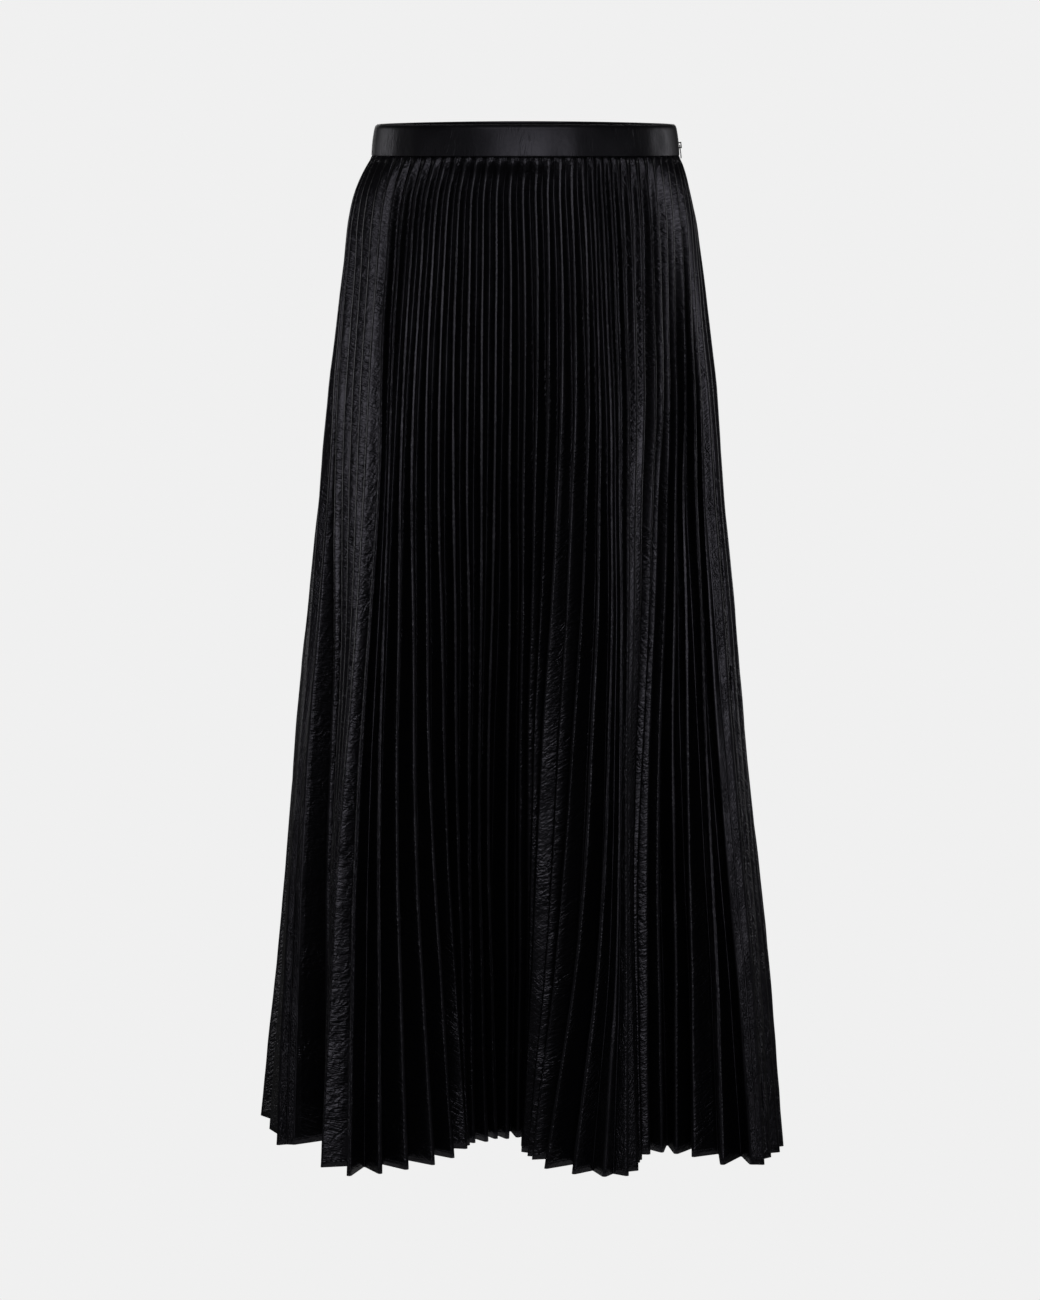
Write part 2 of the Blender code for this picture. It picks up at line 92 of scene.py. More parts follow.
# Outer edges of the pleats, numbered from the right side seam round the front to the left one, at 38, and
# back. x and y: place at the hem. fullness: how deep the pleat after it is. turn: how many degrees that
# pleat leans round. at_waist: how many pleats further round it starts. bow_...: how far to the left it
# bows at these drops. All is as on the solids, but for the turn of pleats 1, 6, 21 and 22
BOW_DROPS = (0, 120, 250, 420, 600, SEAM_TO_HEM)
Edge = namedtuple("Edge", "name pleat x y fullness turn at_waist bow_120 bow_250 bow_420 bow_600")
EDGES = [
    Edge("right side lobe", 0, -205, -91, 0.05, 0, -0.4, 0, 0, 1.7, -3.7),
    Edge("right side lobe", 1, -191, -90, 1, -9, -0.5, 0, 4, 3, -1),
    Edge("right valley", 2, -163, -97, 1, 0, -0.5, -1, 1, 6, 0),
    Edge("right valley", 3, -165, -112, 1, 0, -0.45, 2, 2.5, 8, 1),
    Edge("right valley", 4, -166, -127, 1, 0, -0.25, 3, 5, 9, 1),
    Edge("right valley", 5, -168, -142, 1, 0, 0, 3.4, 7.4, 9.5, 1.2),
    Edge("front right lobe", 6, -170, -156, 1, 6, 0.21, 2.8, 7.7, 8.3, 0.5),
    Edge("front right lobe", 7, -142, -182, 1, 0, 0.29, 0.3, 6, 1.7, -3.6),
    Edge("front right lobe", 8, -116, -175, 1, 0, 0.41, -1.4, 0.5, -0.5, -2.9),
    Edge("front right lobe, inner flank", 9, -95, -162, 1, -6, 0.51, -2, -2.7, -2.2, -5),
    Edge("front right lobe, inner flank", 10, -74, -149, 1, -22, 0.55, -3.2, -6, -3.8, -6.7),
    Edge("front right lobe, inner flank", 11, -58, -129, 1, -20, 0.53, -3.8, -5.6, -5.1, -5.8),
    Edge("centre valley", 12, -47, -102, 1, -8, 0.5, -3.6, -4.5, -2.7, -4.4),
    Edge("centre valley", 13, -45, -92, 1, 0, 0.43, -1.9, -1.1, 0.5, -1.8),
    Edge("centre valley", 14, -41, -85, 1, 0, 0.42, -0.2, 0.8, 3.3, -0),
    Edge("centre valley", 15, -31, -82, 1, 0, 0.42, 0.6, 1.9, 1.3, -3),
    Edge("centre valley", 16, -22, -76, 1, 0, 0.49, 1.4, 1.8, -1.3, -5.8),
    Edge("centre valley", 17, -15, -73, 1, 0, 0.6, 2, 2.7, 3.8, -0.3),
    Edge("centre valley", 18, -7, -68, 0.9, 0, 0.69, 2.4, 3.3, 3.4, 0.1),
    Edge("centre valley", 19, -3, -73, 1, 0, 0.74, 3, 4, 2.5, 0.5),
    Edge("centre valley, left flank", 20, -4, -94, 0.7, 0, 0.79, 2.6, 4.4, 1.5, -0.9),
    Edge("centre valley, left flank", 21, -4, -110, 0.7, -22, 0.8, 4.1, 5.8, 2.5, -1.5),
    Edge("centre valley, left flank", 22, -1, -122, 1, -13, 0.85, 4.3, 8.5, 7.5, 3.4),
    Edge("centre valley, left flank", 23, 1, -134, 1, 12, 0.79, 5.1, 9.5, 10.3, 6),
    Edge("front left lobe", 24, 15.5, -160, 1, 4, 0.7, 2.7, 7.6, 11.1, 9.4),
    Edge("front left lobe", 25, 38, -175, 0.6, 0, 0.48, 0.7, 6, 9.2, 7.2),
    Edge("front left lobe", 26, 63, -182, 0.3, 0, 0.21, 0.2, 2.6, 4, 2.5),
    Edge("front left lobe", 27, 82, -180, 0.25, 0, 0.04, -0.6, 0.5, -2.1, -5),
    Edge("front left lobe, outer flank", 28, 91, -164, 0.4, 0, 0, -2, -3.3, -7.7, -11),
    Edge("front left lobe, outer flank", 29, 93, -140, 0.8, 8, 0, -3.3, -4.9, -9.3, -12.7),
    Edge("front left lobe, outer flank", 30, 95, -133, 1, 12, 0, -2, -2.7, -8.1, -13.7),
    Edge("left valley", 31, 102, -118, 1, 12, 0, -3.1, -4.8, -10.1, -13.5),
    Edge("left valley", 32, 112, -113, 1, 12, 0, -4.3, -5.9, -10.8, -13.7),
    Edge("left valley", 33, 123, -117, 1, 10, 0, -6, -7.2, -10.8, -10.7),
    Edge("left side lobe", 34, 136, -126, 1, 0, 0, -4.2, -8.3, -9, -9.9),
    Edge("left side lobe", 35, 159, -149, 1, 0, 0, -3.9, -6.6, -7.3, -7.6),
    Edge("left side lobe", 36, 182, -147, 0, 0, 0, -5.8, -8.7, -11.5, -9.8),
    Edge("left side lobe", 37, 193, -148, 0.25, 0, 0, -4.8, -5.1, -5.6, -4.5),
    Edge("left side", 38, 201, -126, 0.3, 0, 0, -2.5, -2.4, -2.4, -2.7),
    Edge("left side", 39, 209, -111, 0.6, 0, 0, -0.2, 0, -0.8, -2.5),
    Edge("left side", 40.5, 214, -84, 1, 0, 0, 0, 0, 0, 0),
    Edge("left side", 42.1, 210, -46, 1, 0, 0, 0, 0, 0, 0),
    Edge("back left corner", 44.2, 207, 0, 1, 0, 0, 0, 0, 0, 0),
    Edge("back left corner", 46.3, 196, 48, 1, 0, 0, 0, 0, 0, 0),
    Edge("back left valley", 47.9, 172, 74, 1, 0, 0, 0, 0, 0, 0),
    Edge("back left valley", 49.5, 152, 104, 1, 0, 0, 0, 0, 0, 0),
    Edge("back left lobe", 51.6, 118, 138, 1, 0, 0, 0, 0, 0, 0),
    Edge("back left lobe", 53.7, 78, 144, 1, 0, 0, 0, 0, 0, 0),
    Edge("back valley, left flank", 55.3, 54, 120, 1, 0, 0, 0, 0, 0, 0),
    Edge("back valley", 56.8, 30, 98, 1, 0, 0, 0, 0, 0, 0),
    Edge("back valley", 59, -4, 97, 1, 0, 0, 0, 0, 0, 0),
    Edge("back right lobe, inner flank", 60.5, -26, 122, 1, 0, 0, 0, 0, 0, 0),
    Edge("back right lobe", 62.1, -50, 150, 1, 0, 0, 0, 0, 0, 0),
    Edge("back right lobe", 64.2, -88, 158, 1, 0, 0, 0, 0, 0, 0),
    Edge("back right valley", 66.3, -120, 134, 1, 0, 0, 0, 0, 0, 0),
    Edge("back right valley", 67.9, -140, 108, 1, 0, 0, 0, 0, 0, 0),
    Edge("back right corner", 69.5, -166, 90, 1, 0, 0, 0, 0, 0, 0),
    Edge("back right corner", 71.6, -204, 84, 1, 0, 0, 0, 0, 0, 0),
    Edge("right side", 73.4, -226, 44, 1, 0, 0, 0, 0, 0, 0),
    Edge("right side", 74, -225, -1, 0.6, 0, -0.2, 0, 0, 0, 0),
    Edge("right side", 75, -215, -42, 0.5, 0, -0.3, 0, 0, 0, 0),
]

# ---------------------------------------------------------------- sizes of the finer form

CLOTH = 0.5  # satin about 0.3 thick, a little more so that the shell stays sound
ROW_STEPS = ((0, 28, 8), (28, 60, 5), (60, 520, 36), (520, SEAM_TO_HEM, 44))  # from, to and number of rows
OUTER_RADIUS_SEAM = 0.8  # how round the pleats' outer edges are
OUTER_RADIUS_HEM = 1.8
INNER_RADIUS_SEAM = 1.8
INNER_RADIUS_HEM = 0.9
OUTER_STEPS = 5
INNER_STEPS = 4
FACE_STEPS = 2
# Pleats near the top that lean round a little: pleat number, for how many pleats each way, and degrees
Lean = namedtuple("Lean", "name pleat reach degrees")
LEANS = [Lean("left of the front", 28.6, 1.6, -13), Lean("left hip", 33.2, 2.1, 26)]
TUCK = 1.5  # how far the panels reach up between the band's layers
STRAY_FRONT = 0.5  # how far an edge strays from its place
STRAY_BACK = 1.4
STRAY_FULL = 60.0  # drop from which it strays that far
STRAY_ACROSS_LENGTH = 150.0  # how far down it goes on straying one way
STRAY_ALONG_LENGTH = 180.0
STRAY_PACE = 0.9  # how unlike its neighbours an edge strays
RIPPLE = 0.3  # height of the soft unevenness of the cloth
RIPPLE_LENGTH = 26.0
RIPPLE_FULL = 40.0  # drop from which the ripple has its full height
BAND_ROWS = 17
BAND_COLUMNS = 241
BAND_RIPPLE = 0.4
BAND_RIPPLE_LENGTH = 13.0
BAND_ROLL = 1.5  # how far the band's top edge rolls in
BAND_ROLL_FROM = 0.8  # of the way from the band's middle up
BAND_FOLD = 0.6  # how round the band's folded edges are
BAND_RUN = 336.0  # length of the flat band's half

# Soft creases on the pleats' sides: the middle's pleat number and drop, and how long it is, how many degrees
# it rises to the left along the cloth, how wide and how deep
Crease = namedtuple("Crease", "name pleat drop length slant width depth")
CREASES = [
    Crease("right side lobe", 1.5, 598, 24, -12, 5, 0.7),
    Crease("right side lobe", 1.5, 664, 26, -20, 5, 0.8),
    Crease("right side lobe", 1.52, 680, 26, -14, 5, 0.8),
    Crease("right side lobe", 1.48, 695, 24, -18, 5, 0.8),
    Crease("right side lobe", 1.5, 722, 22, -18, 5, 0.7),
    Crease("right side lobe", 1.5, 470, 22, 4, 6, 0.5),
    Crease("right side lobe", 1.5, 500, 22, -3, 6, 0.5),
    Crease("front right lobe", 6.5, 560, 24, 28, 6, 0.6),
    Crease("front right lobe", 6.5, 616, 26, -42, 5, 0.8),
    Crease("front right lobe", 6.48, 634, 26, -40, 5, 0.9),
    Crease("front right lobe", 6.52, 656, 24, -38, 5, 0.9),
    Crease("front right lobe", 6.5, 672, 26, -40, 5, 0.8),
    Crease("front right lobe", 6.5, 706, 24, 30, 6, 0.6),
    Crease("front right lobe", 6.5, 742, 24, -32, 6, 0.7),
    Crease("front right lobe", 6.5, 776, 24, 26, 6, 0.6),
    Crease("centre valley", 11.9, 640, 30, -58, 6, 0.7),
    Crease("centre valley", 21.5, 520, 24, 55, 6, 0.6),
    Crease("centre valley", 21.5, 606, 26, 60, 5, 0.9),
    Crease("centre valley", 22.5, 716, 24, 40, 6, 0.6),
    Crease("front left lobe", 26.8, 612, 26, 35, 6, 0.6),
    Crease("front left lobe", 27.7, 668, 26, 42, 6, 0.6),
    Crease("front left lobe", 28.6, 728, 24, 38, 6, 0.7),
    Crease("left valley", 30.4, 430, 20, 30, 6, 0.5),
    Crease("left side lobe", 36.4, 520, 26, -20, 6, 0.6),
    Crease("left side lobe", 36.6, 660, 28, 18, 7, 0.6),
    Crease("left side", 37.6, 430, 26, 6, 6, 0.6),
    Crease("left side", 37.6, 486, 24, -8, 6, 0.6),
    Crease("left side", 37.5, 600, 26, 12, 6, 0.7),
    Crease("back left corner", 44.5, 560, 24, 30, 6, 0.7),
    Crease("back left corner", 44.5, 596, 24, 34, 6, 0.7),
    Crease("back left valley", 49.5, 700, 26, -25, 6, 0.7),
    Crease("back left lobe", 52.5, 470, 22, 20, 6, 0.6),
    Crease("back left lobe", 52.5, 690, 26, 38, 6, 0.8),
    Crease("back left lobe", 52.5, 712, 26, 36, 6, 0.8),
    Crease("back valley", 57.5, 620, 24, -40, 6, 0.6),
    Crease("back right lobe", 62.5, 560, 24, -30, 6, 0.7),
    Crease("back right lobe", 63.5, 640, 26, -36, 6, 0.8),
    Crease("back right lobe", 63.5, 664, 24, -34, 6, 0.7),
    Crease("back right corner", 70.5, 610, 26, 14, 6, 0.7),
    Crease("back right corner", 70.5, 740, 26, -28, 6, 0.7),
    Crease("right side", 74.5, 520, 24, 10, 6, 0.6),
]

# ---------------------------------------------------------------- small helpers


def soft_noise(x, y, seed):
    """Smooth hills from about -1 to 1, one for each unit of x and y."""
    table = np.random.default_rng(seed).uniform(-1, 1, (128, 128))
    x, y = np.broadcast_arrays(np.asarray(x, float), np.asarray(y, float))
    column, row = np.floor(x).astype(int), np.floor(y).astype(int)
    s, t = x - column, y - row
    s, t = s * s * (3 - 2 * s), t * t * (3 - 2 * t)
    corner = [[table[(row + j) % 128, (column + i) % 128] for i in (0, 1)] for j in (0, 1)]
    upper = corner[0][0] * (1 - s) + corner[0][1] * s
    lower = corner[1][0] * (1 - s) + corner[1][1] * s
    return upper * (1 - t) + lower * t


# ---------------------------------------------------------------- the skirt's form


def ellipse_points(pleats, half_width, half_depth):
    """Points at these pleat numbers, spread evenly along an ellipse from its -X end round its front."""
    angle = np.linspace(math.pi, 3 * math.pi, ELLIPSE_STEPS + 1)
    outline = np.stack([half_width * np.cos(angle), half_depth * np.sin(angle)], axis=1)
    steps = np.linalg.norm(np.diff(outline, axis=0), axis=1)
    run = np.concatenate([[0.0], np.cumsum(steps)])
    at = np.interp(np.mod(pleats, PLEATS) / PLEATS * run[-1], run, angle)
    return np.stack([half_width * np.cos(at), half_depth * np.sin(at)], axis=1)


def smooth_through(knots, values, at):
    """Values at these places on a smooth curve through the knots."""
    slopes = np.gradient(values, knots, axis=0)
    row = np.clip(np.searchsorted(knots, at, side="right") - 1, 0, len(knots) - 2)
    width = knots[row + 1] - knots[row]
    t = (at - knots[row]) / width
    t, width = t[:, None], width[:, None]
    return (
        values[row] * (1 + 2 * t) * (1 - t) ** 2
        + values[row + 1] * (3 - 2 * t) * t**2
        + slopes[row] * width * t * (1 - t) ** 2
        - slopes[row + 1] * width * t**2 * (1 - t)
    )


def edge_values(numbers, columns):
    """These columns of EDGES at any outer edge numbers, on smooth closed curves."""
    rows = EDGES[-3:] + EDGES + EDGES[:3]
    knots = np.array([row.pleat for row in rows], float)
    knots[:3] -= PLEATS
    knots[-3:] += PLEATS
    values = np.array([[getattr(row, column) for column in columns] for row in rows], float)
    return smooth_through(knots, values, np.mod(numbers, PLEATS))


def level_at(drop):
    """The skirt's level at any drop below the seam, on smooth curves through LEVELS."""
    knots = np.array([level.drop for level in LEVELS], float)
    values = np.array([level[1:] for level in LEVELS], float)
    return Level(drop, *smooth_through(knots, values, np.array([drop]))[0])


def bow(numbers, drop):
    """How far to the left the outer edges bow at this drop."""
    columns = edge_values(numbers, ["bow_%d" % at for at in BOW_DROPS[1:-1]])
    ends = np.zeros((len(numbers), 1))
    values = np.concatenate([ends, columns, ends], axis=1).T
    return smooth_through(np.array(BOW_DROPS, float), values, np.array([drop]))[0]


def outer_edges(numbers, level):
    """Where the pleats' outer edges lie at one level: on an oval that opens into the folds of the hem."""
    at_waist = edge_values(numbers, ["at_waist"])[:, 0]
    around = numbers + at_waist * (1 - level.fold_share)
    hem = LEVELS[-1]
    hem_oval = ellipse_points(around + 0.25, hem.half_width, hem.half_depth) + [hem.shift_right, 0]
    oval = ellipse_points(around + 0.25, level.half_width, level.half_depth) + [level.shift_right, 0]
    share = np.array([level.fold_share, max(0.0, level.fold_share) ** DEPTH_POWER])
    flat = oval + share * (edge_values(around, ["x", "y"]) - hem_oval)
    flat[:, 0] += bow(numbers, level.drop)
    return flat


def inner_edges(numbers, outer, level):
    """The inner edge between each two outer edges, behind them by what the pleat's sides reach."""
    ahead = outer[1:] - outer[:-1]
    pitch = np.linalg.norm(ahead, axis=1)
    outwards = np.stack([ahead[:, 1], -ahead[:, 0]], axis=1) / pitch[:, None]
    turned = outwards.copy()
    turned[1:] += TURN_SHARE * outwards[:-1]
    turned[:-1] += TURN_SHARE * outwards[1:]
    turned /= np.linalg.norm(turned, axis=1)[:, None]
    opened = min(1, 2 * level.fold_share)
    fullness, turn = edge_values(numbers[:-1], ["fullness", "turn"]).T
    turn = turn * opened
    for lean in LEANS:
        turn += (1 - opened) * lean.degrees * np.exp(-(((numbers[:-1] - lean.pleat) / lean.reach) ** 2))
    cos, sin = np.cos(np.radians(turn)), np.sin(np.radians(turn))
    across, back = turned.T
    turned = np.stack([across * cos - back * sin, across * sin + back * cos], axis=1)
    cosine = np.sum(turned * outwards, axis=1)
    face = FACE_AT_SEAM + (FACE_AT_HEM - FACE_AT_SEAM) * level.drop / SEAM_TO_HEM
    reach = np.maximum(face**2 - (pitch / 2) ** 2, LEAST_DEPTH)
    depth = 1 / np.sqrt((1 - cosine**2) / face**2 + cosine**2 / reach)
    depth *= level.pleat_share * (1 - opened * (1 - fullness))
    return (outer[1:] + outer[:-1]) / 2 - turned * depth[:, None]


def pleat_edges(first, last, level):
    """Fold edges from two before one seam to two past the next, outer and inner ones in turn.

    Outer edges are a quarter past their pleat number and inner ones three quarters.
    """
    numbers = np.arange(first - 2.0, last + 3.0)
    outer = outer_edges(numbers, level)
    inner = inner_edges(numbers, outer, level)
    flat = np.empty((2 * len(inner), 2))
    flat[0::2], flat[1::2] = outer[:-1], inner
    pleats = np.repeat(numbers[:-1], 2) + np.tile([0.25, 0.75], len(inner))
    near = np.abs(pleats - (first + last) / 2) < (last - first) / 2 + 1
    return flat[near], pleats[near]


def back_rise(pleats):
    """How much higher the waist lies here than at the front."""
    backward = ellipse_points(pleats, 1.0, BAND_HALF_DEPTH / BAND_HALF_WIDTH)[:, 1]
    return BACK_RISE * ((backward * BAND_HALF_WIDTH / BAND_HALF_DEPTH + 1) / 2) ** 2


def face_width(drop):
    """Width of one side of a pleat."""
    return FACE_AT_SEAM + (FACE_AT_HEM - FACE_AT_SEAM) * drop / SEAM_TO_HEM


def strayed_edges(first, last, drop):
    """The fold edges at this drop, each a little off its place."""
    flat, pleats = pleat_edges(first, last, level_at(drop))
    at_front = (pleats > 0) & (pleats < HALF_ROUND)
    size = np.where(at_front, STRAY_FRONT, STRAY_BACK) * min(1, drop / STRAY_FULL)
    across = soft_noise(pleats * STRAY_PACE, drop / STRAY_ACROSS_LENGTH, 3)
    along = soft_noise(pleats * STRAY_PACE + 50, drop / STRAY_ALONG_LENGTH, 4)
    return flat + np.stack([across, along], axis=1) * size[:, None], pleats


def crease_depth(number, drop):
    """How far CREASES press the cloth in at these pleat numbers and drops."""
    depth = np.zeros(np.broadcast(number, drop).shape)
    for crease in CREASES:
        across = (number - crease.pleat) * 2 * face_width(drop)
        down = drop - crease.drop
        cos, sin = math.cos(math.radians(crease.slant)), math.sin(math.radians(crease.slant))
        along = (across * cos - down * sin) / (crease.length / 2)
        aside = (across * sin + down * cos) / crease.width
        depth += crease.depth * np.exp(-(along**4) - aside**2)
    return depth


def corner_frame(flat):
    """For each corner but the end ones: its middle direction inwards, half its angle, a direction square to
    that middle, towards the side ahead, and the length of its shorter side."""
    back, ahead = flat[:, :-2] - flat[:, 1:-1], flat[:, 2:] - flat[:, 1:-1]
    back_length, ahead_length = np.linalg.norm(back, axis=2), np.linalg.norm(ahead, axis=2)
    back, ahead = back / back_length[..., None], ahead / ahead_length[..., None]
    middle = back + ahead
    middle /= np.linalg.norm(middle, axis=2)[..., None]
    half = np.arccos(np.clip(np.sum(middle * ahead, axis=2), -1, 1))
    side = ahead - middle * np.cos(half)[..., None]
    side /= np.linalg.norm(side, axis=2)[..., None]
    return middle, half, side, np.minimum(back_length, ahead_length)


def panel_points(first, last):
    """The panel's points, with its pleats' edges rounded, and for each its place on the flat cloth."""
    drops = np.concatenate([np.linspace(low, high, count, endpoint=False) for low, high, count in ROW_STEPS])
    drops = np.append(drops, SEAM_TO_HEM)
    rows = [strayed_edges(first, last, drop) for drop in drops]
    flat, pleats = np.array([row[0] for row in rows]), rows[0][1]
    outer = np.isclose(np.mod(pleats[1:-1], 1), 0.25)
    down = (drops / SEAM_TO_HEM)[:, None]
    radius_outer = OUTER_RADIUS_SEAM + (OUTER_RADIUS_HEM - OUTER_RADIUS_SEAM) * down
    radius_inner = INNER_RADIUS_SEAM + (INNER_RADIUS_HEM - INNER_RADIUS_SEAM) * down
    radius = np.where(outer[None, :], radius_outer, radius_inner)
    middle, half, side, room = corner_frame(flat)
    out = np.where(outer[None, :], np.minimum(radius / np.sin(half) - radius, 0.35 * room), 0)
    flat[:, 1:-1] -= middle * out[..., None]
    middle, half, side, room = corner_frame(flat)
    reach = np.minimum(radius / np.tan(half), 0.42 * room)
    radius = reach * np.tan(half)
    centre = flat[:, 1:-1] + middle * (radius / np.sin(half))[..., None]

    face = face_width(drops)[:, None]
    place = (pleats[None, 1:-1] - (first + last) / 2) * 2 * face
    arcs, spots = [], []
    for at in range(len(outer)):
        steps = np.linspace(-1, 1, OUTER_STEPS if outer[at] else INNER_STEPS)[None, :]
        turn = steps * (math.pi / 2 - half[:, at, None])
        ray = side[:, at, None] * np.sin(turn)[..., None] - middle[:, at, None] * np.cos(turn)[..., None]
        arcs.append(centre[:, at, None] + ray * radius[:, at, None, None])
        spots.append(place[:, at, None] + steps * reach[:, at, None])
    columns, run = [], []
    for at in range(len(outer) - 1):
        share = np.linspace(0, 1, FACE_STEPS + 2)[1:-1]
        if at == 0:
            share = np.array([0.5, 0.75])
        elif at == len(outer) - 2:
            share = np.array([0.25, 0.5])
        start, end = arcs[at][:, -1:], arcs[at + 1][:, :1]
        if at > 0:
            columns.append(arcs[at])
            run.append(spots[at])
        columns.append(start + (end - start) * share[None, :, None])
        run.append(spots[at][:, -1:] + (spots[at + 1][:, :1] - spots[at][:, -1:]) * share[None, :])
    plan, run = np.concatenate(columns, axis=1), np.concatenate(run, axis=1)

    number = run / (2 * face) + (first + last) / 2
    top = SEAM_Z - SEAM_GAP / 2 + np.array([back_rise(row) for row in number])
    top[0] += TUCK
    height = top + (SEAM_Z - SEAM_TO_HEM - top) * drops[:, None] / SEAM_TO_HEM
    points = np.concatenate([plan, height[..., None]], axis=2)
    cloth = np.stack([run, np.repeat(-drops[:, None], run.shape[1], 1)], 2)
    ripple = RIPPLE * soft_noise(cloth[..., 0] / RIPPLE_LENGTH, cloth[..., 1] / RIPPLE_LENGTH, 5)
    ripple *= np.minimum(1, drops / RIPPLE_FULL)[:, None]
    ripple -= crease_depth(number, drops[:, None])
    return points + surface_normals(points) * ripple[..., None], cloth, number


def surface_normals(points):
    """Unit normals of a grid of points, outwards for rows that run down and columns round the front."""
    down = np.gradient(points, axis=0)
    across = np.gradient(points, axis=1)
    normal = np.cross(down, across)
    return normal / np.linalg.norm(normal, axis=2)[..., None]


# ---------------------------------------------------------------- meshes


def sheet_mesh(name, points, cloth, number, wall, material):
    """A sheet of cloth from a flat grid, moved to these points. Its UV maps are its flat cut in metres, and
    its pleat numbers beside how high it lies on that cut."""
    rows, columns = points.shape[:2]
    bm = bmesh.new()
    bmesh.ops.create_grid(bm, x_segments=columns - 1, y_segments=rows - 1, size=0.5)
    bm.verts.ensure_lookup_table()
    cut = bm.loops.layers.uv.new("cloth")
    pleat = bm.loops.layers.uv.new("pleats")
    places = {}
    for vert in bm.verts:
        column = round((vert.co.x + 0.5) * (columns - 1))
        row = round((0.5 - vert.co.y) * (rows - 1))
        places[vert.index] = (row, column)
    for vert in bm.verts:
        vert.co = points[places[vert.index]] * MM
    for face in bm.faces:
        face.smooth = True
        for loop in face.loops:
            place = places[loop.vert.index]
            loop[cut].uv = cloth[place] * MM
            loop[pleat].uv = (number[place], cloth[place][1] * MM)
    mesh = bpy.data.meshes.new(name)
    bm.to_mesh(mesh)
    bm.free()
    obj = bpy.data.objects.new(name, mesh)
    bpy.context.scene.collection.objects.link(obj)
    mesh.materials.append(material)
    solid = obj.modifiers.new("cloth", "SOLIDIFY")
    solid.thickness = wall * MM
    solid.offset = 0
    return obj


def band_points(first, last):
    """The band half's points, rows from its top down, and their place on the flat cloth."""
    ups = np.linspace(1, -1, BAND_ROWS)
    pleats = np.linspace(first, last, BAND_COLUMNS)
    run = (pleats - first) / (last - first) * BAND_RUN
    rows = []
    for up in ups:
        spread = BAND_CROWN * (1 - up**2) - BAND_FLARE * up * BAND_HEIGHT / 2
        spread -= BAND_ROLL * (max(0.0, up - BAND_ROLL_FROM) / (1 - BAND_ROLL_FROM)) ** 2
        spread = spread + BAND_RIPPLE * soft_noise(run / BAND_RIPPLE_LENGTH, up * 0.6 + 9, 6 + first)
        flat = ellipse_points(pleats, BAND_HALF_WIDTH, BAND_HALF_DEPTH)
        flat += flat / np.linalg.norm(flat, axis=1)[:, None] * spread[:, None]
        half_height = (BAND_HEIGHT - SEAM_GAP / 2) / 2
        rows.append(np.column_stack([flat, SEAM_GAP / 4 + up * half_height + back_rise(pleats)]))
    cloth = np.stack(np.meshgrid(run, ups * BAND_HEIGHT / 2), 2)
    return np.array(rows), cloth, np.repeat(pleats[None, :], len(ups), 0)


def softened_metal(node, edge, material):
    """A copy of a hard CAD node with its edges rounded, as a cast and enamelled piece has them."""
    bm = bmesh.new()
    bm.from_mesh(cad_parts[node].data)
    bmesh.ops.remove_doubles(bm, verts=bm.verts, dist=1e-6)
    flat = [e for e in bm.edges if e.is_manifold and e.calc_face_angle() < math.radians(1)]
    bmesh.ops.dissolve_edges(bm, edges=flat, use_verts=False)
    sharp = [e for e in bm.edges if e.is_manifold and e.calc_face_angle() > math.radians(50)]
    bmesh.ops.bevel(
        bm, geom=sharp, offset=edge * MM, affect="EDGES", segments=3, profile=0.5, material=-1,
        clamp_overlap=True,
    )
    mesh = bpy.data.meshes.new(node + "_enamelled")
    bm.to_mesh(mesh)
    bm.free()
    mesh.shade_smooth()
    mesh.set_sharp_from_angle(angle=math.radians(40))
    mesh.materials.append(material)
    obj = bpy.data.objects.new(mesh.name, mesh)
    bpy.context.scene.collection.objects.link(obj)
    return obj


# ---------------------------------------------------------------- materials


def linear(hex_colour):
    """An sRGB hex colour as linear red, green, blue and alpha."""
    parts = [int(hex_colour[i : i + 2], 16) / 255 for i in (1, 3, 5)]
    return tuple(c / 12.92 if c <= 0.04045 else ((c + 0.055) / 1.055) ** 2.4 for c in parts) + (1.0,)


def add_node(tree, kind, settings=None, **inputs):
    """A shader node with its settings. An input is a value, an output, or a node for its first output."""
    node = tree.nodes.new("ShaderNode" + kind)
    for name, value in (settings or {}).items():
        setattr(node, name, value)
    for name, value in inputs.items():
        socket = node.inputs[int(name[1:]) if name[1:].isdigit() else name.replace("_", " ")]
        if isinstance(value, bpy.types.Node):
            value = value.outputs[0]
        if isinstance(value, bpy.types.NodeSocket):
            tree.links.new(value, socket)
        else:
            socket.default_value = value
    return node


def new_material(name, colour, roughness, **constants):
    """A material with its node tree and its shader, whose other sockets take these constants."""
    material = bpy.data.materials.new(name)
    material.use_nodes = True
    shader = material.node_tree.nodes["Principled BSDF"]
    shader.inputs["Base Color"].default_value = linear(colour)
    shader.inputs["Roughness"].default_value = roughness
    for socket, value in constants.items():
        shader.inputs[socket.replace("_", " ")].default_value = value
    return material, material.node_tree, shader


def per_metre(size_mm):
    """A texture scale that gives features of this size on coordinates in metres."""
    return 1 / (size_mm * MM)


ADD = {"operation": "ADD"}
SUBTRACT = {"operation": "SUBTRACT"}
MULTIPLY = {"operation": "MULTIPLY"}
MULTIPLY_ADD = {"operation": "MULTIPLY_ADD"}
ABSOLUTE = {"operation": "ABSOLUTE"}
MINIMUM = {"operation": "MINIMUM"}
MODULO = {"operation": "FLOORED_MODULO"}
ROUND = {"operation": "ROUND"}
SINE = {"operation": "SINE"}
AS_TEXTURE = {"vector_type": "TEXTURE"}

SATIN_BLACK = "#08080a"
SATIN_ROUGHNESS = 0.29  # satin's floats lie nearly flat, so it is much glossier than a plain weave
PRESSED_ROUGHNESS = 0.38
SATIN_SPECULAR = 0.55
SHEEN = (0.86, 0.83, 0.98, 1.0)

